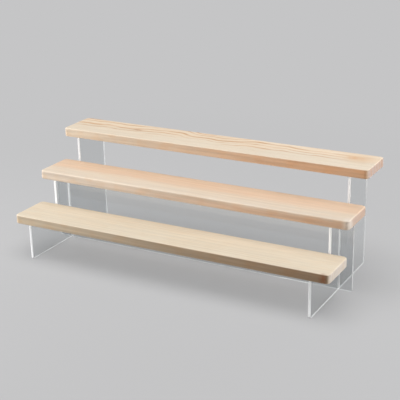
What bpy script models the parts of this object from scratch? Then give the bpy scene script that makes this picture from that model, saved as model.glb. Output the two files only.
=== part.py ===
"""Three-tier display stand: pine boards on a slotted frame of clear acrylic sheet.

Two stepped side panels stand on their long edges. A cross panel drops into both of them
from above, in half-lap slots, and the three then stand as one frame. A board lies on each
step of the side panels. A tab on the step enters a mortise that is routed in the board's
underside, so nothing shows on the board's faces and each board lifts straight off.

Metres, +Z up. +X runs along the boards and +Y runs from the lowest tier to the highest.
The origin is on the table, under the centre of the stand.
"""

import math

import bmesh
import bpy

TIERS = ("lower", "middle", "upper")
CROSS_TIER = TIERS.index("middle")

# Boards
BOARD_LENGTH = 0.398
BOARD_DEPTH = 0.053
BOARD_THICKNESS = 0.0105
BOARD_CORNER_RADIUS = 0.005
BOARD_EDGE_RADIUS = 0.0012

# Steps of the stand
LOWEST_UNDERSIDE = 0.042
TIER_RISE = 0.0395
FRONT_OVERHANG = 0.0005
BOARD_GAP = 0.0005

# Acrylic sheet, with its panels placed from the ends of the boards
SHEET_THICKNESS = 0.003
SIDE_PANEL_INSET = 0.021
CROSS_PANEL_INSET = 0.004
PANEL_CORNER_RADIUS = 0.002

# Joinery: the clearance is left on each side of a slot, a mortise or a seat
TAB_LENGTH = 0.026
TAB_HEIGHT = 0.004
TAB_CORNER_RADIUS = 0.0015
CLEARANCE = 0.0003

# Facets of a quarter round
CORNER_SEGMENTS = 12
EDGE_SEGMENTS = 4
SMOOTH_ANGLE = math.radians(30)

# Finishes
ACRYLIC_COLOUR = (0.93, 0.95, 0.95)
ACRYLIC_ROUGHNESS = 0.04
ACRYLIC_IOR = 1.49
PINE_COLOURS = {
    "lower": (0.83, 0.72, 0.54),
    "middle": (0.83, 0.66, 0.48),
    "upper": (0.82, 0.68, 0.48),
}
PINE_ROUGHNESS = 0.55

# Seen from above, each board starts just behind the one below it, so that any of them lifts off first
TIER_RUN = BOARD_DEPTH + BOARD_GAP
PANEL_DEPTH = TIER_RUN * len(TIERS)
STAND_DEPTH = FRONT_OVERHANG + PANEL_DEPTH
PANEL_FRONT_Y = FRONT_OVERHANG - STAND_DEPTH / 2
SIDE_PANEL_X = BOARD_LENGTH / 2 - SIDE_PANEL_INSET
CROSS_PANEL_LENGTH = BOARD_LENGTH - 2 * CROSS_PANEL_INSET
SLOT_WIDTH = SHEET_THICKNESS + 2 * CLEARANCE


def underside_height(tier):
    """Height of a board's underside above the table."""
    return LOWEST_UNDERSIDE + tier * TIER_RISE


def shoulder_height(tier):
    """Height of the step that a board rests on."""
    return underside_height(tier) - CLEARANCE


def step_front(tier):
    """Distance of a step's front edge from the front of the side panel."""
    return tier * TIER_RUN


def step_middle(tier):
    """Distance of the middle of a step, and of its tab, from the front of the side panel."""
    return step_front(tier) + TIER_RUN / 2


CROSS_PANEL_HEIGHT = shoulder_height(CROSS_TIER)
LAP_HEIGHT = CROSS_PANEL_HEIGHT / 2


def material_shader(name, colour, roughness):
    """A new material that isn't metal, and its shader."""
    material = bpy.data.materials.new(name)
    material.use_nodes = True
    shader = material.node_tree.nodes["Principled BSDF"]
    shader.inputs["Base Color"].default_value = (*colour, 1.0)
    shader.inputs["Roughness"].default_value = roughness
    shader.inputs["Metallic"].default_value = 0.0
    return material, shader


def clear_acrylic():
    material, shader = material_shader("clear_acrylic", ACRYLIC_COLOUR, ACRYLIC_ROUGHNESS)
    shader.inputs["Transmission Weight"].default_value = 1.0
    shader.inputs["IOR"].default_value = ACRYLIC_IOR
    return material


def pine(tier):
    name = TIERS[tier]
    material, shader = material_shader(f"{name}_pine", PINE_COLOURS[name], PINE_ROUGHNESS)
    return material


def slab(corners, thickness):
    """A flat slab cut to an outline in XY, from z = 0 up to its thickness.

    The corners run anticlockwise as (x, y, radius), where a radius of 0 leaves a square corner.
    """
    bm = bmesh.new()
    outline = [bm.verts.new((x, y, 0.0)) for x, y, radius in corners]
    bm.faces.new(outline)
    for corner_radius in sorted({radius for x, y, radius in corners if radius > 0}):
        bmesh.ops.bevel(
            bm,
            geom=[vert for vert, corner in zip(outline, corners) if corner[2] == corner_radius],
            offset=corner_radius,
            offset_type="OFFSET",
            segments=CORNER_SEGMENTS,
            profile=0.5,
            affect="VERTICES",
        )
    raised = bmesh.ops.extrude_face_region(bm, geom=bm.faces[:])
    raised_verts = [item for item in raised["geom"] if isinstance(item, bmesh.types.BMVert)]
    bmesh.ops.translate(bm, verts=raised_verts, vec=(0.0, 0.0, thickness))
    bmesh.ops.recalc_face_normals(bm, faces=bm.faces[:])
    return bm


def rounded_slab(length, depth, thickness, radius):
    """A slab with a rectangular outline, centred on the origin, with one radius at its corners."""
    x = length / 2
    y = depth / 2
    return slab([(-x, -y, radius), (x, -y, radius), (x, y, radius), (-x, y, radius)], thickness)


def place(name, bm, material, parent, location, rotation=(0.0, 0.0, 0.0)):
    """Turn a bmesh into a named object that is shaded smooth round its curves."""
    mesh = bpy.data.meshes.new(name)
    bm.to_mesh(mesh)
    bm.free()
    mesh.shade_smooth()
    mesh.set_sharp_from_angle(angle=SMOOTH_ANGLE)
    if material:
        mesh.materials.append(material)
    piece = bpy.data.objects.new(name, mesh)
    bpy.context.scene.collection.objects.link(piece)
    piece.parent = parent
    piece.location = location
    piece.rotation_euler = rotation
    return piece


def empty(name, parent=None):
    holder = bpy.data.objects.new(name, None)
    bpy.context.scene.collection.objects.link(holder)
    holder.parent = parent
    return holder


def tab_corners(tier):
    """The top of one step, from front to back: its tab, split where the cross panel passes."""
    shoulder = shoulder_height(tier)
    tab_top = shoulder + TAB_HEIGHT
    middle = step_middle(tier)
    tab_front = middle - TAB_LENGTH / 2
    tab_back = middle + TAB_LENGTH / 2
    front_half = [(tab_front, shoulder, 0.0), (tab_front, tab_top, TAB_CORNER_RADIUS)]
    back_half = [(tab_back, tab_top, TAB_CORNER_RADIUS), (tab_back, shoulder, 0.0)]
    if tier != CROSS_TIER:
        return front_half + back_half
    slot_front = middle - SLOT_WIDTH / 2
    slot_back = middle + SLOT_WIDTH / 2
    slot_floor = LAP_HEIGHT - CLEARANCE / 2
    slot = [
        (slot_front, tab_top, TAB_CORNER_RADIUS),
        (slot_front, slot_floor, 0.0),
        (slot_back, slot_floor, 0.0),
        (slot_back, tab_top, TAB_CORNER_RADIUS),
    ]
    return front_half + slot + back_half


def side_panel_corners():
    """Outline of a side panel, as depth from its front edge and height above the table."""
    corners = [(0.0, 0.0, PANEL_CORNER_RADIUS)]
    for tier in range(len(TIERS)):
        shoulder = shoulder_height(tier)
        if tier > 0:
            corners.append((step_front(tier), shoulder_height(tier - 1), PANEL_CORNER_RADIUS))
        corners.append((step_front(tier), shoulder, PANEL_CORNER_RADIUS))
        corners.extend(tab_corners(tier))
    corners.append((PANEL_DEPTH, shoulder_height(len(TIERS) - 1), PANEL_CORNER_RADIUS))
    corners.append((PANEL_DEPTH, 0.0, PANEL_CORNER_RADIUS))
    return corners[::-1]


def cross_panel_corners():
    """Outline of the cross panel, as distance from its middle and height above the table."""
    end = CROSS_PANEL_LENGTH / 2
    slot_roof = LAP_HEIGHT + CLEARANCE / 2
    corners = [(-end, 0.0, PANEL_CORNER_RADIUS)]
    for panel_x in (-SIDE_PANEL_X, SIDE_PANEL_X):
        slot_left = panel_x - SLOT_WIDTH / 2
        slot_right = panel_x + SLOT_WIDTH / 2
        corners.append((slot_left, 0.0, 0.0))
        corners.append((slot_left, slot_roof, 0.0))
        corners.append((slot_right, slot_roof, 0.0))
        corners.append((slot_right, 0.0, 0.0))
    corners.append((end, 0.0, PANEL_CORNER_RADIUS))
    corners.append((end, CROSS_PANEL_HEIGHT, PANEL_CORNER_RADIUS))
    corners.append((-end, CROSS_PANEL_HEIGHT, PANEL_CORNER_RADIUS))
    return corners


def side_panel(name, x, acrylic, frame):
    """A stepped panel whose sheet stands across the boards, with its depth along +Y."""
    upright = (math.pi / 2, 0.0, math.pi / 2)
    left_face = (x - SHEET_THICKNESS / 2, PANEL_FRONT_Y, 0.0)
    return place(name, slab(side_panel_corners(), SHEET_THICKNESS), acrylic, frame, left_face, upright)


def cross_panel(name, acrylic, frame):
    """The long panel that stands along the boards, under the middle of the middle tier."""
    upright = (math.pi / 2, 0.0, 0.0)
    back_face = (0.0, PANEL_FRONT_Y + step_middle(CROSS_TIER) + SHEET_THICKNESS / 2, 0.0)
    return place(name, slab(cross_panel_corners(), SHEET_THICKNESS), acrylic, frame, back_face, upright)


def board_blank():
    """A board with rounded corners and eased edges, its underside at z = 0."""
    bm = rounded_slab(BOARD_LENGTH, BOARD_DEPTH, BOARD_THICKNESS, BOARD_CORNER_RADIUS)
    top_and_underside = sorted(bm.faces, key=lambda face: face.calc_area())[-2:]
    rims = {edge for face in top_and_underside for edge in face.edges}
    bmesh.ops.bevel(
        bm,
        geom=list(rims),
        offset=BOARD_EDGE_RADIUS,
        offset_type="OFFSET",
        segments=EDGE_SEGMENTS,
        profile=0.5,
        affect="EDGES",
    )
    return bm


def mortise_cutter():
    """A routed mortise, whose ends are as round as the cutter that is as wide as the mortise.

    The tab's corners are square in plan, so the mortise runs on past them by the depth of its round ends.
    """
    end_radius = SLOT_WIDTH / 2
    round_end = end_radius - math.sqrt(end_radius**2 - (SHEET_THICKNESS / 2) ** 2)
    length = TAB_LENGTH + 2 * (round_end + CLEARANCE)
    depth = TAB_HEIGHT + CLEARANCE
    below = BOARD_THICKNESS / 2
    bm = rounded_slab(SLOT_WIDTH, length, depth + below, end_radius)
    bmesh.ops.translate(bm, verts=bm.verts[:], vec=(0.0, 0.0, -below))
    return bm


def board(tier, stand):
    """One board on its step, with a mortise over the tab of each side panel."""
    name = f"{TIERS[tier]}_board"
    front = PANEL_FRONT_Y + step_front(tier) - FRONT_OVERHANG
    y = front + BOARD_DEPTH / 2
    tab_y = PANEL_FRONT_Y + step_middle(tier)
    piece = place(name, board_blank(), pine(tier), stand, (0.0, y, underside_height(tier)))
    for side, panel_x in (("left", -SIDE_PANEL_X), ("right", SIDE_PANEL_X)):
        mortise = place(f"{name}_{side}_mortise", mortise_cutter(), None, piece, (panel_x, tab_y - y, 0.0))
        mortise.hide_render = True
        mortise.display_type = "WIRE"
        cut = piece.modifiers.new(f"{side} mortise", "BOOLEAN")
        cut.operation = "DIFFERENCE"
        cut.solver = "EXACT"
        cut.object = mortise
    return piece


for leftover in list(bpy.data.objects):
    bpy.data.objects.remove(leftover, do_unlink=True)

stand_holder = empty("stand")
frame_holder = empty("acrylic_frame", stand_holder)

sheet_material = clear_acrylic()
side_panel("left_side_panel", -SIDE_PANEL_X, sheet_material, frame_holder)
side_panel("right_side_panel", SIDE_PANEL_X, sheet_material, frame_holder)
cross_panel("cross_panel", sheet_material, frame_holder)
for tier_number in range(len(TIERS)):
    board(tier_number, stand_holder)
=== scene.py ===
import math

import bmesh
import bpy
from mathutils import Matrix, Vector


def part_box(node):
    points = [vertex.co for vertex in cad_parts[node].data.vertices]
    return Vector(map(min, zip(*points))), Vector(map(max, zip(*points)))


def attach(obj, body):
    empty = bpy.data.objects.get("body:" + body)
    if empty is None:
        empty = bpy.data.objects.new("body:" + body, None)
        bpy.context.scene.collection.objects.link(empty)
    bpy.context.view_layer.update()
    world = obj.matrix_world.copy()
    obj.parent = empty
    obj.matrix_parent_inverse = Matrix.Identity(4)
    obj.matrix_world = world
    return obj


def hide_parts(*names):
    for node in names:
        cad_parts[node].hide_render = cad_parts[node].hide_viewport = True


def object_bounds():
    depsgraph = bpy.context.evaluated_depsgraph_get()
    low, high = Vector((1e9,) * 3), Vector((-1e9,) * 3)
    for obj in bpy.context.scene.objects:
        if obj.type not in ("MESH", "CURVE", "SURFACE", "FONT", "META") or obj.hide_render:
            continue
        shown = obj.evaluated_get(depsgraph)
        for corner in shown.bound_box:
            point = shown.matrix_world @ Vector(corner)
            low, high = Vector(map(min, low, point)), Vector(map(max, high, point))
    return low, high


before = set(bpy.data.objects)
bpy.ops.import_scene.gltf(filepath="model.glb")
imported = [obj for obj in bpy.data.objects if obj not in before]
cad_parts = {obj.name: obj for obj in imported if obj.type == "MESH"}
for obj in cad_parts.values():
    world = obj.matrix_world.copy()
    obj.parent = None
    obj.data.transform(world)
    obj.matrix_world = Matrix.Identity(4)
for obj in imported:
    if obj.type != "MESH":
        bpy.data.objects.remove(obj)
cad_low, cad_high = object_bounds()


# Side panels
# Two like panels of 3 mm clear cast acrylic, laser cut in three steps and standing on their long edges.
# Every step has a tab that goes up into its board, and a slot down the middle step takes the cross panel.
tiers = ("lower", "middle", "upper")
panel_low, panel_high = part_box("left_side_panel")
panel_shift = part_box("right_side_panel")[0].x - panel_low.x
panel_depth = panel_high.y - panel_low.y
panel_height = panel_high.z - panel_low.z
sheet_thickness = panel_high.x - panel_low.x
cross_low, cross_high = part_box("cross_panel")
cross_tier = tiers.index("middle")

board_undersides = [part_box(f"{tier}_board")[0].z for tier in tiers]
tier_rise = board_undersides[1] - board_undersides[0]
seat_gap = 0.00005
shoulders = [underside - seat_gap for underside in board_undersides]
tab_tops = [panel_high.z - tier_rise * (len(tiers) - 1 - tier) for tier in range(len(tiers))]
step_run = panel_depth / len(tiers)
step_fronts = [panel_low.y + step_run * tier for tier in range(len(tiers))]
step_middles = [front + step_run / 2 for front in step_fronts]
tab_length = 0.026
slot_play = 0.0003
slot_width = sheet_thickness + 2 * slot_play
lap_height = cross_high.z / 2
lap_gap = 0.00015
slot_floor = lap_height - lap_gap
panel_corner = 0.002
tab_corner = 0.0015
corner_steps = 6
arris = 0.0002
arris_steps = 2


def pick(kind, wanted):
    """In edit mode, selects only the vertices, edges or faces that pass a test."""
    bpy.ops.mesh.select_mode(type=kind)
    bpy.ops.mesh.select_all(action="DESELECT")
    mesh = bmesh.from_edit_mesh(bpy.context.edit_object.data)
    elements = {"VERT": mesh.verts, "EDGE": mesh.edges, "FACE": mesh.faces}[kind]
    for element in elements:
        if wanted(element):
            element.select_set(True)
    mesh.select_flush_mode()
    bmesh.update_edit_mesh(bpy.context.edit_object.data)


def lay_sheet(name, centre, turn, length, height):
    """Stands one rectangle of sheet in its place and opens it for cutting."""
    bpy.ops.object.select_all(action="DESELECT")
    bpy.ops.mesh.primitive_plane_add(size=1.0, location=centre, rotation=turn)
    sheet = bpy.context.active_object
    sheet.name = name
    sheet.scale = (length, height, 1.0)
    bpy.ops.object.transform_apply(location=True, rotation=True, scale=True)
    bpy.ops.object.mode_set(mode="EDIT")
    return sheet


def score(place, across):
    """Cuts the sheet along a line through a place, square to a direction."""
    on_the_line = 0.00001
    bpy.ops.mesh.select_all(action="SELECT")
    bpy.ops.mesh.bisect(plane_co=place, plane_no=across, threshold=on_the_line)


def drop_waste(is_waste):
    """Takes the off-cuts away and joins what is left into one flat face."""
    flat = math.radians(1.0)
    pick("FACE", lambda face: is_waste(face.calc_center_median()))
    bpy.ops.mesh.delete(type="FACE")
    bpy.ops.mesh.select_all(action="SELECT")
    bpy.ops.mesh.dissolve_limited(angle_limit=flat)


def round_corners(radius, is_corner):
    """Rounds those corners of the flat outline that pass a test."""
    pick("VERT", lambda corner: is_corner(corner.co))
    bpy.ops.mesh.bevel(affect="VERTICES", offset=radius, segments=corner_steps)


def thicken(sheet, direction, face_finish, edge_finish):
    """Gives a cut sheet its thickness, eases its arrises as polishing does, and sets its two finishes."""
    square_on = 0.999
    bpy.ops.mesh.select_all(action="SELECT")
    bpy.ops.mesh.extrude_region_move(TRANSFORM_OT_translate={"value": direction * sheet_thickness})
    bpy.ops.mesh.select_all(action="SELECT")
    bpy.ops.mesh.normals_make_consistent(inside=False)

    def is_flat_side(face):
        return abs(face.normal.dot(direction)) > square_on

    def is_arris(edge):
        return is_flat_side(edge.link_faces[0]) != is_flat_side(edge.link_faces[1])

    pick("EDGE", is_arris)
    bpy.ops.mesh.bevel(affect="EDGES", offset=arris, segments=arris_steps)
    sheet.data.materials.append(face_finish)
    sheet.data.materials.append(edge_finish)
    pick("FACE", lambda face: not is_flat_side(face))
    sheet.active_material_index = 1
    bpy.ops.object.material_slot_assign()
    bpy.ops.object.mode_set(mode="OBJECT")


def add_node(tree, kind, inputs=None, **options):
    """Adds a node to a material or group, sets its options, and links or sets its inputs."""
    node = tree.nodes.new(kind)
    for option, value in options.items():
        setattr(node, option, value)
    for key, feed in (inputs or {}).items():
        if isinstance(feed, bpy.types.NodeSocket):
            tree.links.new(feed, node.inputs[key])
        else:
            node.inputs[key].default_value = feed
    return node


def ease(tree, value, start, end, low=0.0, high=1.0):
    """A soft change from low to high as a value goes from start to end."""
    return add_node(tree, "ShaderNodeMapRange", {
        "Value": value,
        "From Min": start,
        "From Max": end,
        "To Min": low,
        "To Max": high,
    }, interpolation_type="SMOOTHSTEP").outputs[0]


def share_between(tree, share, first, second):
    """Two shaders in one surface: the second takes the share and the first takes the rest."""
    return add_node(tree, "ShaderNodeMixShader", {0: share, 1: first.outputs[0], 2: second.outputs[0]})


def new_material(name):
    """An empty node material with its output, and the place of the piece as its coordinates."""
    material = bpy.data.materials.new(name)
    material.use_nodes = True
    tree = material.node_tree
    tree.nodes.clear()
    output = add_node(tree, "ShaderNodeOutputMaterial")
    place = add_node(tree, "ShaderNodeTexCoord").outputs["Object"]
    return material, tree, output, place


def new_group(name, inputs, outputs):
    """An empty node group with its named sockets, and what comes in through them."""
    group = bpy.data.node_groups.new(name, "ShaderNodeTree")
    for direction, sockets in (("INPUT", inputs), ("OUTPUT", outputs)):
        for socket, kind in sockets.items():
            group.interface.new_socket(socket, in_out=direction, socket_type=f"NodeSocket{kind}")
    return group, add_node(group, "NodeGroupInput").outputs


acrylic_ior = 1.49
face_tint = (0.81, 0.825, 0.83, 1.0)
shadow_tint = (0.96, 0.965, 0.965, 1.0)

clear_face, tree, output, place = new_material("clear_acrylic_face")
wipe_marks = add_node(tree, "ShaderNodeTexNoise", {"Vector": place, "Scale": 38.0, "Detail": 4.0})
cast_waves = add_node(tree, "ShaderNodeTexNoise", {"Vector": place, "Scale": 16.0, "Detail": 1.0})
wave_bump = add_node(tree, "ShaderNodeBump", {
    "Height": cast_waves.outputs[0],
    "Strength": 0.04,
    "Distance": 0.0002,
})
gloss = add_node(tree, "ShaderNodeBsdfPrincipled", {
    "Base Color": face_tint,
    "Roughness": ease(tree, wipe_marks.outputs[0], 0.4, 0.75, low=0.008, high=0.05),
    "IOR": acrylic_ior,
    "Transmission Weight": 1.0,
    "Normal": wave_bump.outputs[0],
})
# Lamp light goes straight on through the sheet, so that its shadow stays pale.
straight_on = add_node(tree, "ShaderNodeBsdfTransparent", {"Color": shadow_tint})
lamp_light = add_node(tree, "ShaderNodeLightPath").outputs["Is Shadow Ray"]
clear_sheet = share_between(tree, lamp_light, gloss, straight_on)
tree.links.new(clear_sheet.outputs[0], output.inputs["Surface"])

laser_ripple, given = new_group(
    "laser_ripple",
    {"Position": "Vector"},
    {"Roughness": "Float", "Height": "Float"},
)
ripple = add_node(laser_ripple, "ShaderNodeTexNoise", {
    "Vector": given["Position"],
    "Scale": 1.0,
    "Detail": 3.0,
}).outputs[0]
ripple_roughness = ease(laser_ripple, ripple, 0.3, 0.7, low=0.03, high=0.12)
add_node(laser_ripple, "NodeGroupOutput", {"Roughness": ripple_roughness, "Height": ripple})

edge_tint = (0.96, 0.985, 0.985, 1.0)
light_reach = 0.04
ripple_through_sheet = 60.0
ripple_along_edge = 2600.0


def cut_edge_material(name, ripple_scale, piped_light):
    """Edge of the sheet, laser cut and then flame polished: faint ripples are left, and light that runs along
    inside the sheet comes out here. A glow on the inner side of the edge stands in for that light."""
    material, tree, output, place = new_material(name)
    stretched = add_node(tree, "ShaderNodeMapping", {"Vector": place, "Scale": ripple_scale}).outputs[0]
    ripples = add_node(tree, "ShaderNodeGroup", {"Position": stretched}, node_tree=laser_ripple)
    bump = add_node(tree, "ShaderNodeBump", {
        "Height": ripples.outputs["Height"],
        "Strength": 0.15,
        "Distance": 0.0001,
    })
    inner_side = add_node(tree, "ShaderNodeNewGeometry").outputs["Backfacing"]
    shader = add_node(tree, "ShaderNodeBsdfPrincipled", {
        "Base Color": edge_tint,
        "Roughness": ripples.outputs["Roughness"],
        "IOR": acrylic_ior,
        "Transmission Weight": 0.12,
        "Subsurface Weight": 0.75,
        "Subsurface Radius": (1.0, 1.0, 1.0),
        "Subsurface Scale": light_reach,
        "Emission Color": inner_side,
        "Emission Strength": piped_light,
        "Normal": bump.outputs[0],
    })
    tree.links.new(shader.outputs[0], output.inputs["Surface"])
    return material


def is_side_waste(spot):
    """Above the steps and tabs, or in the slot for the cross panel."""
    tier = min(int((spot.y - panel_low.y) / step_run), len(tiers) - 1)
    off_middle = abs(spot.y - step_middles[tier])
    top = tab_tops[tier] if off_middle < tab_length / 2 else shoulders[tier]
    in_slot = tier == cross_tier and off_middle < slot_width / 2 and spot.z > slot_floor
    return spot.z > top or in_slot


def is_tab_corner(spot):
    """Top corners of the tabs, and of the slot's mouth between the halves of the middle one."""
    return any(abs(spot.z - top) < arris for top in tab_tops)


def is_step_corner(spot):
    """The panel's four outer corners and the inner and outer corners of its steps."""
    outer_lines = step_fronts + [panel_high.y]
    return any(abs(spot.y - line) < arris for line in outer_lines)


upright_along_y = (math.pi / 2, 0.0, math.pi / 2)
panel_middle = (panel_low + panel_high) / 2
panel_middle.x = panel_low.x
left_panel = lay_sheet("left_stepped_panel", panel_middle, upright_along_y, panel_depth, panel_height)
for front in step_fronts[1:]:
    score((0.0, front, 0.0), (0.0, 1.0, 0.0))
for middle in step_middles:
    for side in (-1.0, 1.0):
        score((0.0, middle + side * tab_length / 2, 0.0), (0.0, 1.0, 0.0))
for side in (-1.0, 1.0):
    score((0.0, step_middles[cross_tier] + side * slot_width / 2, 0.0), (0.0, 1.0, 0.0))
for height in shoulders + tab_tops[:-1] + [slot_floor]:
    score((0.0, 0.0, height), (0.0, 0.0, 1.0))
drop_waste(is_side_waste)
round_corners(tab_corner, is_tab_corner)
round_corners(panel_corner, is_step_corner)
side_ripple = (ripple_through_sheet, ripple_along_edge, ripple_along_edge)
side_edge = cut_edge_material("side_panel_cut_edge", side_ripple, piped_light=0.28)
thicken(left_panel, Vector((1.0, 0.0, 0.0)), clear_face, side_edge)

bpy.ops.object.duplicate(linked=False)
right_panel = bpy.context.active_object
right_panel.name = "right_stepped_panel"
right_panel.location.x = panel_shift
bpy.ops.object.transform_apply(location=True, rotation=False, scale=False)

for panel, node in ((left_panel, "left_side_panel"), (right_panel, "right_side_panel")):
    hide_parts(node)
    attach(panel, "acrylic_frame")


# Cross panel
# One long panel of the same clear sheet, slotted up from below so that it drops over the side panels and
# holds them square. Its ends stand out past them and its top edge carries the middle of the second board.
cross_ends = (cross_low.x, cross_high.x)
left_panel_line = (panel_low.x + panel_high.x) / 2
side_panel_lines = [left_panel_line, left_panel_line + panel_shift]
slot_roof = lap_height + lap_gap
cross_top = shoulders[cross_tier]


def is_cross_waste(spot):
    """In one of the two slots that straddle the side panels."""
    return spot.z < slot_roof and any(abs(spot.x - line) < slot_width / 2 for line in side_panel_lines)


def is_cross_corner(spot):
    """The four outer corners."""
    return any(abs(spot.x - end) < arris for end in cross_ends)


upright_along_x = (math.pi / 2, 0.0, 0.0)
cross_middle = Vector((0.0, cross_low.y, cross_top / 2))
cross_length = cross_high.x - cross_low.x
cross_sheet = lay_sheet("long_cross_panel", cross_middle, upright_along_x, cross_length, cross_top)
for line in side_panel_lines:
    for side in (-1.0, 1.0):
        score((line + side * slot_width / 2, 0.0, 0.0), (1.0, 0.0, 0.0))
score((0.0, 0.0, slot_roof), (0.0, 0.0, 1.0))
drop_waste(is_cross_waste)
round_corners(panel_corner, is_cross_corner)
cross_ripple = (ripple_along_edge, ripple_through_sheet, ripple_along_edge)
cross_edge = cut_edge_material("cross_panel_cut_edge", cross_ripple, piped_light=0.1)
thicken(cross_sheet, Vector((0.0, 1.0, 0.0)), clear_face, cross_edge)
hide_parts("cross_panel")
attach(cross_sheet, "acrylic_frame")


# Boards
# Three like boards of pale pine, planed, cut with rounded corners and sanded, with stopped mortises routed
# into the underside for the tabs. They lie loose on the steps: only their weight and the tabs hold them.
board_low, board_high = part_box("lower_board")
board_size = board_high - board_low
board_middle = (board_low + board_high) / 2
board_corner = 0.005
board_corner_steps = 12
board_arris = 0.0012
board_arris_steps = 5
smooth_angle = math.radians(35.0)
mortise_length = 0.0282
mortise_width = slot_width
mortise_depth = 0.0043
just_under_half = 0.499
mortise_end_round = mortise_width * just_under_half
mortise_end_steps = 8
cutter_spare = 0.002


def add_block(name, centre, size):
    """Adds one sawn block at its size and place."""
    bpy.ops.object.select_all(action="DESELECT")
    bpy.ops.mesh.primitive_cube_add(size=1.0, location=centre)
    block = bpy.context.active_object
    block.name = name
    block.scale = size
    bpy.ops.object.transform_apply(location=True, rotation=False, scale=True)
    return block


def take_up(piece):
    """Selects one piece alone and makes it the one that is worked on."""
    bpy.ops.object.select_all(action="DESELECT")
    bpy.context.view_layer.objects.active = piece
    piece.select_set(True)


def is_upright(edge):
    """Edges that stand at a block's corners."""
    one, other = edge.verts
    return abs(one.co.z - other.co.z) > max(abs(one.co.x - other.co.x), abs(one.co.y - other.co.y))


def round_uprights(radius, steps):
    """Rounds the four upright edges of the block in edit mode."""
    pick("EDGE", is_upright)
    bpy.ops.mesh.bevel(affect="EDGES", offset=radius, segments=steps)


def sand_rim(up, radius):
    """Sands the edge round the top (up is 1) or the underside (up is -1) of the board in edit mode."""
    flat_tilt = 0.9
    side_tilt = 0.5

    def is_rim(edge):
        tilts = [face.normal.z * up for face in edge.link_faces]
        return max(tilts) > flat_tilt and min(tilts) < side_tilt

    pick("EDGE", is_rim)
    bpy.ops.mesh.bevel(affect="EDGES", offset=radius, segments=board_arris_steps)


blank = add_block("lower_pine_board", board_middle, board_size)
bpy.ops.object.mode_set(mode="EDIT")
round_uprights(board_corner, board_corner_steps)
sand_rim(-1.0, board_arris)
bpy.ops.object.mode_set(mode="OBJECT")

for line in side_panel_lines:
    cutter_low = board_low.z - cutter_spare
    cutter_high = board_low.z + mortise_depth
    cutter_place = Vector((line, step_middles[0], (cutter_low + cutter_high) / 2))
    cutter_size = (mortise_width, mortise_length, cutter_high - cutter_low)
    cutter = add_block("mortise_cutter", cutter_place, cutter_size)
    bpy.ops.object.mode_set(mode="EDIT")
    round_uprights(mortise_end_round, mortise_end_steps)
    bpy.ops.object.mode_set(mode="OBJECT")
    take_up(blank)
    cut = blank.modifiers.new("mortise", "BOOLEAN")
    cut.operation = "DIFFERENCE"
    cut.object = cutter
    bpy.ops.object.modifier_apply(modifier=cut.name)
    bpy.data.objects.remove(cutter)


def figure(tree, operation, *values):
    """One sum on numbers that change over the surface."""
    return add_node(tree, "ShaderNodeMath", dict(enumerate(values)), operation=operation).outputs[0]


def arrow(tree, operation, *values):
    """One sum on places that change over the surface."""
    node = add_node(tree, "ShaderNodeVectorMath", dict(enumerate(values)), operation=operation)
    return node.outputs["Value" if operation == "LENGTH" else "Vector"]


middle_of_noise = (0.5, 0.5, 0.5)
season_change = 1.2

growth_rings, given = new_group(
    "growth_rings",
    {"From Heart": "Vector", "Ring Width": "Float", "First Year": "Float", "Wander": "Float"},
    {"Late Wood": "Float"},
)
slow = add_node(growth_rings, "ShaderNodeMapping", {
    "Vector": given["From Heart"],
    "Scale": (24.0, 11.0, 11.0),
})
wave = add_node(growth_rings, "ShaderNodeTexNoise", {
    "Vector": slow.outputs[0],
    "Scale": 1.0,
    "Detail": 1.0,
    "Roughness": 0.35,
})
centred = arrow(growth_rings, "SUBTRACT", wave.outputs["Color"], middle_of_noise)
swing = add_node(growth_rings, "ShaderNodeVectorMath", {
    "Vector": centred,
    "Scale": given["Wander"],
}, operation="SCALE")
swung = arrow(growth_rings, "ADD", given["From Heart"], swing.outputs[0])
across_log = arrow(growth_rings, "MULTIPLY", swung, (0.0, 1.0, 1.0))
radius = arrow(growth_rings, "LENGTH", across_log)
ring_count = figure(growth_rings, "DIVIDE", radius, given["Ring Width"])
years = figure(growth_rings, "ADD", ring_count, given["First Year"])
season = add_node(growth_rings, "ShaderNodeTexNoise", {
    "W": years,
    "Scale": 0.45,
    "Detail": 1.0,
}, noise_dimensions="1D")
growth = figure(growth_rings, "MULTIPLY", season.outputs[0], season_change)
uneven_years = figure(growth_rings, "ADD", years, growth)
ring_number = figure(growth_rings, "FLOOR", uneven_years)
ring_part = figure(growth_rings, "FRACT", uneven_years)
ring_strength = add_node(growth_rings, "ShaderNodeTexWhiteNoise", {"W": ring_number}, noise_dimensions="1D")
darkening = ease(growth_rings, ring_part, 0.40, 0.78)
ending = ease(growth_rings, ring_part, 0.82, 1.0, low=1.0, high=0.0)
late = figure(growth_rings, "MULTIPLY", darkening, ending)
weight = ease(growth_rings, ring_strength.outputs["Value"], 0.0, 1.0, low=0.6, high=1.0)
add_node(growth_rings, "NodeGroupOutput", {"Late Wood": figure(growth_rings, "MULTIPLY", late, weight)})


def drawn_noise(tree, position, scale, detail):
    """Noise drawn out along the length of the board, as fibres are."""
    drawn = add_node(tree, "ShaderNodeMapping", {"Vector": position, "Scale": scale}).outputs[0]
    return add_node(tree, "ShaderNodeTexNoise", {"Vector": drawn, "Scale": 1.0, "Detail": detail}).outputs[0]


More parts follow.
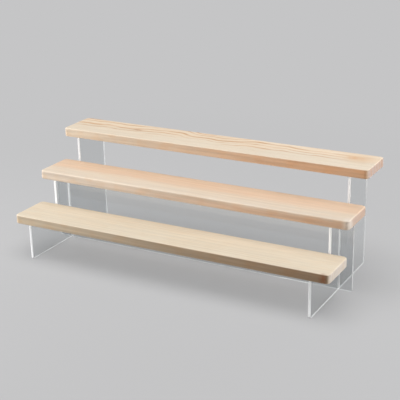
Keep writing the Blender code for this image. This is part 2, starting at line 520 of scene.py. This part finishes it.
wood_fibre, given = new_group(
    "wood_fibre",
    {"Position": "Vector"},
    {"Streak": "Float", "Fibre": "Float", "Resin Fleck": "Float", "Mottle": "Float"},
)
flecks = drawn_noise(wood_fibre, given["Position"], scale=(130.0, 1100.0, 1100.0), detail=1.0)
add_node(wood_fibre, "NodeGroupOutput", {
    "Streak": drawn_noise(wood_fibre, given["Position"], scale=(9.0, 330.0, 330.0), detail=2.0),
    "Fibre": drawn_noise(wood_fibre, given["Position"], scale=(45.0, 1500.0, 1500.0), detail=3.0),
    "Resin Fleck": ease(wood_fibre, flecks, 0.66, 0.76),
    "Mottle": drawn_noise(wood_fibre, given["Position"], scale=(14.0, 55.0, 55.0), detail=2.0),
})

edge_band = 0.0014
core = (board_size.x / 2 - board_corner, board_size.y / 2 - board_corner, board_size.z / 2)

# A narrow band round the top and bottom rims: the sanded edge, which also carries a painted highlight.
sanded_edge_and_highlight, given = new_group("sanded_edge_and_highlight", {"From Middle": "Vector"}, {"Edge": "Float"})
past_core = arrow(sanded_edge_and_highlight, "SUBTRACT", arrow(sanded_edge_and_highlight, "ABSOLUTE", given["From Middle"]), core)
plan = arrow(sanded_edge_and_highlight, "MULTIPLY", past_core, (1.0, 1.0, 0.0))
plan_reach = arrow(sanded_edge_and_highlight, "LENGTH", arrow(sanded_edge_and_highlight, "MAXIMUM", plan))
rise = add_node(sanded_edge_and_highlight, "ShaderNodeSeparateXYZ", {0: past_core}).outputs["Z"]
near_side = ease(sanded_edge_and_highlight, plan_reach, board_corner - edge_band, board_corner)
near_face = ease(sanded_edge_and_highlight, rise, -edge_band, 0.0)
add_node(sanded_edge_and_highlight, "NodeGroupOutput", {"Edge": figure(sanded_edge_and_highlight, "MULTIPLY", near_side, near_face)})


def linear(red, green, blue):
    """A colour given as it looks on a screen, from 0 to 255, as the light that a surface gives back."""
    def channel(value):
        share = value / 255.0
        return share / 12.92 if share <= 0.04045 else ((share + 0.055) / 1.055) ** 2.4
    return (channel(red), channel(green), channel(blue), 1.0)


def tint(tree, amount, under, over, mode="MIX"):
    """Lays one colour over another, through the Mix node's own sockets for colours."""
    factor, colour_a, colour_b, mixed = 0, 6, 7, 2
    feeds = {factor: amount, colour_a: under, colour_b: over}
    return add_node(tree, "ShaderNodeMix", feeds, data_type="RGBA", blend_type=mode).outputs[mixed]


def spot_mask(tree, position, centre, reach):
    """One soft oval spot: 1 in its middle and 0 at its rim."""
    moved = add_node(tree, "ShaderNodeMapping", {
        "Vector": position,
        "Location": centre,
        "Scale": reach,
    }, vector_type="TEXTURE")
    ball = add_node(tree, "ShaderNodeTexGradient", {"Vector": moved.outputs[0]}, gradient_type="SPHERICAL")
    return ease(tree, ball.outputs["Fac"], 0.0, 1.0)


pine_ior = 1.45
sanded_pale_and_highlight = linear(241, 230, 213)
wood_blush = (1.0, 0.92, 0.84, 1.0)
band_waver = 0.016
calm_share = 0.35
calm_lead = 0.1
side_wash = 0.85
end_ring_depth = 0.4
fleck_depth = 0.25
edge_paleness_and_highlight = 0.3
spot_raggedness = (0.018, 0.008, 0.0)


def pine_material(name, middle, heart, heart_turn, ring_width, first_year, wander, plain, warm, warm_zone,
                  zone_slope, late_colour, line_depth, line_zone, line_end, front_left, front_right,
                  end_colour, spots=()):
    """Sanded bare pine: growth rings about the heart of the log, streaks, fibres, resin flecks, and sanded
    edges made paler with a painted highlight. The fronts carry painted shade towards the right. Zones run
    from front to back and line_end along the board, in metres from its middle."""
    material, tree, output, place = new_material(name)
    from_middle = add_node(tree, "ShaderNodeMapping", {"Vector": place, "Location": -middle}).outputs[0]
    from_heart = add_node(tree, "ShaderNodeMapping", {
        "Vector": from_middle,
        "Location": heart,
        "Rotation": heart_turn,
    }, vector_type="TEXTURE").outputs[0]
    axes = add_node(tree, "ShaderNodeSeparateXYZ", {0: from_middle}).outputs
    calmer = ease(tree, axes["X"], line_end[0] - calm_lead, line_end[1], low=wander, high=wander * calm_share)
    late_wood = add_node(tree, "ShaderNodeGroup", {
        "From Heart": from_heart,
        "Ring Width": ring_width,
        "First Year": first_year,
        "Wander": calmer,
    }, node_tree=growth_rings).outputs["Late Wood"]
    fibres = add_node(tree, "ShaderNodeGroup", {"Position": from_heart}, node_tree=wood_fibre).outputs
    edges = add_node(tree, "ShaderNodeGroup", {"From Middle": from_middle}, node_tree=sanded_edge_and_highlight)

    along_grain = figure(tree, "MULTIPLY_ADD", axes["X"], zone_slope, axes["Y"])
    wavering = figure(tree, "MULTIPLY_ADD", fibres["Mottle"], band_waver, along_grain)
    colour = tint(tree, ease(tree, wavering, warm_zone[0], warm_zone[1]), plain, warm)
    lines_here = ease(tree, wavering, line_zone[0], line_zone[1], low=0.0, high=line_depth)
    lines_left = ease(tree, axes["X"], line_end[0], line_end[1], low=1.0, high=0.1)
    lines_here = figure(tree, "MULTIPLY", lines_here, lines_left)
    patches = drawn_noise(tree, from_middle, scale=(22.0, 90.0, 90.0), detail=2.0)
    come_and_go = ease(tree, patches, 0.4, 0.6, low=0.35, high=1.0)
    lines_here = figure(tree, "MULTIPLY", lines_here, come_and_go)
    colour = tint(tree, figure(tree, "MULTIPLY", late_wood, lines_here), colour, late_colour)

    normal = add_node(tree, "ShaderNodeNewGeometry").outputs["Normal"]
    facing = add_node(tree, "ShaderNodeSeparateXYZ", {0: normal}).outputs
    on_front = ease(tree, figure(tree, "ABSOLUTE", facing["Y"]), 0.5, 1.0)
    on_end = ease(tree, figure(tree, "ABSOLUTE", facing["X"]), 0.5, 1.0)
    # The fronts take a tone of their own, darkened towards the right end as painted shade.
    along = ease(tree, axes["X"], -board_size.x / 2, board_size.x / 2)
    front_tone_and_shade = tint(tree, along, front_left, front_right)
    colour = tint(tree, figure(tree, "MULTIPLY", on_front, side_wash), colour, front_tone_and_shade)
    colour = tint(tree, figure(tree, "MULTIPLY", on_end, side_wash), colour, end_colour)
    end_rings = figure(tree, "MULTIPLY", figure(tree, "MULTIPLY", late_wood, on_end), end_ring_depth)
    colour = tint(tree, end_rings, colour, late_colour)

    torn = add_node(tree, "ShaderNodeTexNoise", {"Vector": place, "Scale": 90.0, "Detail": 3.0})
    torn_off = arrow(tree, "SUBTRACT", torn.outputs["Color"], middle_of_noise)
    ragged = arrow(tree, "MULTIPLY_ADD", torn_off, spot_raggedness, from_middle)
    for spot in spots:
        mask = spot_mask(tree, ragged, spot["centre"], spot["reach"])
        colour = tint(tree, figure(tree, "MULTIPLY", mask, spot["amount"]), colour, spot["colour"])

    blush_depth = ease(tree, on_front, 0.0, 1.0, low=0.25, high=0.7)
    blotches = drawn_noise(tree, from_middle, scale=(48.0, 110.0, 110.0), detail=2.0)
    blush = ease(tree, blotches, 0.45, 0.65)
    colour = tint(tree, figure(tree, "MULTIPLY", blush, blush_depth), colour, wood_blush, "MULTIPLY")
    streak_floor = ease(tree, on_front, 0.0, 1.0, low=0.95, high=0.84)
    streak_shade = ease(tree, fibres["Streak"], 0.3, 0.7, low=streak_floor, high=1.03)
    fibre_shade = ease(tree, fibres["Fibre"], 0.3, 0.7, low=0.96, high=1.02)
    colour = tint(tree, 1.0, colour, figure(tree, "MULTIPLY", streak_shade, fibre_shade), "MULTIPLY")
    colour = tint(tree, figure(tree, "MULTIPLY", fibres["Resin Fleck"], fleck_depth), colour, late_colour)
    # Sanded arrises are paler, and the same band is a painted highlight along the edges.
    colour = tint(tree, figure(tree, "MULTIPLY", edges.outputs["Edge"], edge_paleness_and_highlight), colour, sanded_pale_and_highlight)
    bump = add_node(tree, "ShaderNodeBump", {
        "Height": figure(tree, "ADD", fibres["Fibre"], late_wood),
        "Strength": 0.35,
        "Distance": 0.00012,
    })
    shader = add_node(tree, "ShaderNodeBsdfPrincipled", {
        "Base Color": colour,
        "Roughness": ease(tree, fibres["Fibre"], 0.25, 0.75, low=0.48, high=0.62),
        "IOR": pine_ior,
        "Normal": bump.outputs[0],
    })
    tree.links.new(shader.outputs[0], output.inputs["Surface"])
    return material


def finish_board(board, tier, material, top_round):
    """Sands the edge round a board's top, gives the board its wood and seats it on its tier."""
    take_up(board)
    bpy.ops.object.mode_set(mode="EDIT")
    sand_rim(1.0, top_round)
    bpy.ops.object.mode_set(mode="OBJECT")
    bpy.ops.object.shade_smooth_by_angle(angle=smooth_angle)
    flatten = board.modifiers.new("flat_faces_stay_flat", "WEIGHTED_NORMAL")
    flatten.keep_sharp = True
    bpy.ops.object.modifier_apply(modifier=flatten.name)
    board.data.materials.clear()
    board.data.materials.append(material)
    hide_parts(f"{tier}_board")
    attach(board, f"{tier}_shelf")


def copy_blank(name, tier):
    """Cuts another board like the blank and lays it on its tier."""
    take_up(blank)
    bpy.ops.object.duplicate(linked=False)
    board = bpy.context.active_object
    board.name = name
    board.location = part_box(f"{tier}_board")[0] - board_low
    bpy.ops.object.transform_apply(location=True, rotation=False, scale=False)
    return board


def tier_middle(tier):
    """Centre of the board on a tier."""
    low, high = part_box(f"{tier}_board")
    return (low + high) / 2


middle_board = copy_blank("middle_pine_board", "middle")
upper_board = copy_blank("upper_pine_board", "upper")


# Lower board
# Cut nearly on the quarter from pale sapwood, so its top is an even cream with faint straight streaks.
# Its front is painted darker to the right, most at the corner, as painted shade.
# Painted shade: darkens the front right corner of the board.
painted_shade_corner = dict(
    centre=(0.1915, -0.0265, 0.0),
    reach=(0.006, 0.006, 0.012),
    amount=0.8,
    colour=linear(156, 104, 72),
)
lower_pine = pine_material(
    "lower_pine_wood",
    middle=tier_middle("lower"),
    heart=(0.0, -0.150, -0.020),
    heart_turn=(0.0, 0.0, math.radians(0.4)),
    ring_width=0.0038,
    first_year=0.0,
    wander=0.0020,
    plain=linear(236, 222, 199),
    warm=linear(236, 219, 194),
    warm_zone=(0.000, 0.025),
    zone_slope=0.0,
    late_colour=linear(214, 184, 146),
    line_depth=0.25,
    line_zone=(-0.030, -0.020),
    line_end=(0.10, 0.20),
    front_left=linear(211, 191, 164),
    front_right=linear(158, 123, 89),
    end_colour=linear(223, 213, 204),
    spots=(painted_shade_corner,),
)
finish_board(blank, "lower", lower_pine, top_round=board_arris)


# Middle board
# Cut where sapwood meets warmer wood: peach over the back of its top, with a pale band along the front that
# runs over the edge. Painted shade darkens the back of the top, and a painted highlight lights the right
# front corner. Its top edge is sanded rounder than the others'.
middle_top_round = 0.0019
# Painted shade under the upper board: darkens the back of the top over its right half.
painted_shade_back = dict(
    centre=(0.125, 0.0185, 0.00525),
    reach=(0.110, 0.016, 0.008),
    amount=0.4,
    colour=linear(216, 182, 150),
)
pale_front_edge = dict(
    centre=(0.10, -0.0275, 0.0062),
    reach=(0.36, 0.012, 0.0070),
    amount=0.8,
    colour=linear(241, 225, 206),
)
# Painted highlight: the rounded right front corner made pale, as if lit from the right.
painted_highlight_corner = dict(
    centre=(0.1985, -0.0265, 0.0),
    reach=(0.0115, 0.016, 0.018),
    amount=0.9,
    colour=linear(247, 236, 224),
)
middle_pine = pine_material(
    "middle_pine_wood",
    middle=tier_middle("middle"),
    heart=(0.0, 0.120, -0.030),
    heart_turn=(0.0, 0.0, math.radians(-0.5)),
    ring_width=0.0036,
    first_year=0.0,
    wander=0.0030,
    plain=linear(239, 222, 201),
    warm=linear(239, 208, 179),
    warm_zone=(-0.004, 0.012),
    zone_slope=0.011,
    late_colour=linear(222, 178, 140),
    line_depth=0.3,
    line_zone=(-0.010, 0.005),
    line_end=(0.10, 0.20),
    front_left=linear(226, 210, 193),
    front_right=linear(227, 184, 150),
    end_colour=linear(207, 182, 168),
    spots=(painted_shade_back, pale_front_edge, painted_highlight_corner),
)
finish_board(middle_board, "middle", middle_pine, top_round=middle_top_round)


# Upper board
# Slash sawn, so the rings come out as a few wavy tan lines along the back of its top. A short dark streak
# and the warm shade round a hidden knot break them.
dark_streak = dict(
    centre=(-0.111, 0.0035, 0.00525),
    reach=(0.017, 0.0018, 0.004),
    amount=0.8,
    colour=linear(176, 118, 70),
)
knot_shade = dict(
    centre=(0.1770, 0.0080, 0.00525),
    reach=(0.034, 0.023, 0.010),
    amount=0.75,
    colour=linear(227, 192, 153),
)
knot_heart = dict(
    centre=(0.1710, 0.0100, 0.00525),
    reach=(0.012, 0.009, 0.010),
    amount=0.6,
    colour=linear(222, 166, 110),
)
upper_pine = pine_material(
    "upper_pine_wood",
    middle=tier_middle("upper"),
    heart=(0.0, -0.110, -0.030),
    heart_turn=(0.0, 0.0, math.radians(1.2)),
    ring_width=0.0086,
    first_year=0.3,
    wander=0.0320,
    plain=linear(239, 223, 200),
    warm=linear(244, 223, 196),
    warm_zone=(0.004, 0.016),
    zone_slope=0.0,
    late_colour=linear(206, 153, 99),
    line_depth=0.95,
    line_zone=(0.000, 0.007),
    line_end=(0.11, 0.20),
    front_left=linear(224, 205, 182),
    front_right=linear(221, 169, 127),
    end_colour=linear(208, 182, 172),
    spots=(dark_streak, knot_shade, knot_heart),
)
finish_board(upper_board, "upper", upper_pine, top_round=board_arris)


# Table top
# A plain pale surface that runs out of sight. It is pale to the eye, in reflections and through clear sheet,
# and dark to soft bounced light, so that the fronts of the boards keep their shade.
table_span = 16.0
table_drop = 0.0002
seen_colour = linear(197, 197, 198)
bounce_colour = linear(96, 96, 96)
near_stand = 0.15
far_off = 0.75
near_evenness = 0.45


def seen_rays(tree):
    """1 for what is seen straight, in reflections or through clear sheet, and 0 for bounced light."""
    rays = add_node(tree, "ShaderNodeLightPath").outputs
    seen = figure(tree, "MAXIMUM", rays["Is Camera Ray"], rays["Is Glossy Ray"])
    return figure(tree, "MAXIMUM", seen, rays["Is Transmission Ray"])


bpy.ops.object.select_all(action="DESELECT")
bpy.ops.mesh.primitive_plane_add(size=table_span, location=(0.0, 0.0, cad_low.z - table_drop))
table_top = bpy.context.active_object
table_top.name = "table_top"
table_material, tree, output, place = new_material("pale_table")
lit = add_node(tree, "ShaderNodeBsdfDiffuse", {"Color": seen_colour})
even = add_node(tree, "ShaderNodeEmission", {"Color": seen_colour})
# Near the stand the surface takes its shadow, and farther out it is one even tone.
distance = arrow(tree, "LENGTH", place)
evenness = ease(tree, distance, near_stand, far_off, low=near_evenness, high=1.0)
seen_surface = share_between(tree, evenness, lit, even)
bounce = add_node(tree, "ShaderNodeBsdfDiffuse", {"Color": bounce_colour})
surface = share_between(tree, seen_rays(tree), bounce, seen_surface)
tree.links.new(surface.outputs[0], output.inputs["Surface"])
table_top.data.materials.append(table_material)


# Studio light
# A wide softbox overhead, one at each end of the stand, a weak one behind it, and a faint even fill from all
# round. The two end softboxes don't show in the acrylic.
stand_middle = (cad_low + cad_high) / 2
fill_strength = 0.22


def add_softbox(name, place, width, height, power, mirrored=True):
    """A rectangular soft light turned to the stand. Only a mirrored one shows in the acrylic."""
    bpy.ops.object.light_add(type="AREA", location=place)
    softbox = bpy.context.active_object
    softbox.name = name
    softbox.data.shape = "RECTANGLE"
    softbox.data.size = width
    softbox.data.size_y = height
    softbox.data.energy = power
    softbox.visible_glossy = mirrored
    softbox.visible_transmission = mirrored
    softbox.rotation_euler = (stand_middle - Vector(place)).to_track_quat("-Z", "Y").to_euler()


add_softbox("overhead_softbox", (-0.05, -0.15, 1.6), width=1.8, height=1.3, power=19.2)
add_softbox("left_softbox", (-1.0, -0.5, 0.16), width=0.45, height=0.28, power=11.5, mirrored=False)
add_softbox("right_softbox", (1.0, 0.10, 0.14), width=0.7, height=0.2, power=5.4, mirrored=False)
add_softbox("back_softbox", (0.10, 1.30, 0.50), width=1.2, height=0.5, power=3.2)

world = bpy.data.worlds.new("studio")
bpy.context.scene.world = world
world.use_nodes = True
tree = world.node_tree
tree.nodes.clear()
fill = add_node(tree, "ShaderNodeBackground", {"Color": linear(255, 255, 255), "Strength": fill_strength})
backdrop = add_node(tree, "ShaderNodeBackground", {"Color": seen_colour, "Strength": 1.0})
surround = share_between(tree, seen_rays(tree), fill, backdrop)
add_node(tree, "ShaderNodeOutputWorld", {"Surface": surround.outputs[0]})
bpy.context.scene.view_settings.view_transform = "Standard"


# Camera
# Stands to the right of the stand's front and looks down on it from about 1.2 metres away.
camera_place = Vector((0.5319, -0.9436, 0.4710))
camera_yaw = 0.507
camera_pitch = -0.350
camera_roll = -0.022
bpy.ops.object.camera_add(location=camera_place)
camera = bpy.context.active_object
camera.data.lens = 90.0
camera.data.sensor_width = 36.0
level_turn = Matrix.Rotation(camera_yaw, 4, "Z") @ Matrix.Rotation(math.pi / 2 + camera_pitch, 4, "X")
camera.matrix_world = Matrix.Translation(camera_place) @ level_turn @ Matrix.Rotation(camera_roll, 4, "Z")
bpy.context.scene.camera = camera
